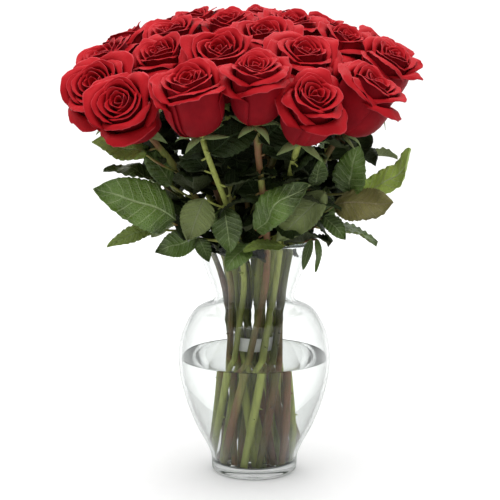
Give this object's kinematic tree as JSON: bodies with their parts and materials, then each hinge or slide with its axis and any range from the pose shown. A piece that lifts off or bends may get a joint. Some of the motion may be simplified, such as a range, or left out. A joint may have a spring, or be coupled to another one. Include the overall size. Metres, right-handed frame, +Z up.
{
  "type": "roses in a vase",
  "caption": "Domed bunch of red roses with their leafy stems spiralled in a clear glass vase half filled with water.",
  "frame": {"origin": "middle of the vase's flat foot, on the surface it stands on", "axes": "+Z up through the vase and the bunch; -Y is the front of the bunch, as pictured; +X is to the viewer's right"},
  "size_m": [0.325, 0.3408, 0.4468],
  "materials": {
    "vase_glass": "gloss",
    "water": "polished",
    "band_plastic": "satin",
    "greenery": "satin",
    "petals": "matte"
  },
  "bodies": {
    "root": {"vase": "vase_glass", "water": "water", "stem_band": "band_plastic", "stem_01": "greenery", "stem_02": "greenery", "stem_03": "greenery", "stem_04": "greenery", "stem_05": "greenery", "stem_06": "greenery", "stem_07": "greenery", "stem_08": "greenery", "stem_09": "greenery", "stem_10": "greenery", "stem_11": "greenery", "stem_12": "greenery", "stem_13": "greenery", "stem_14": "greenery", "stem_15": "greenery", "stem_16": "greenery", "stem_17": "greenery", "stem_18": "greenery", "stem_19": "greenery", "stem_20": "greenery", "stem_21": "greenery", "stem_22": "greenery", "stem_23": "greenery", "stem_24": "greenery", "bloom_01": "petals", "bloom_02": "petals", "bloom_03": "petals", "bloom_04": "petals", "bloom_05": "petals", "bloom_06": "petals", "bloom_07": "petals", "bloom_08": "petals", "bloom_09": "petals", "bloom_10": "petals", "bloom_11": "petals", "bloom_12": "petals", "bloom_13": "petals", "bloom_14": "petals", "bloom_15": "petals", "bloom_16": "petals", "bloom_17": "petals", "bloom_18": "petals", "bloom_19": "petals", "bloom_20": "petals", "bloom_21": "petals", "bloom_22": "petals", "bloom_23": "petals", "bloom_24": "petals"}
  },
  "joints": []
}
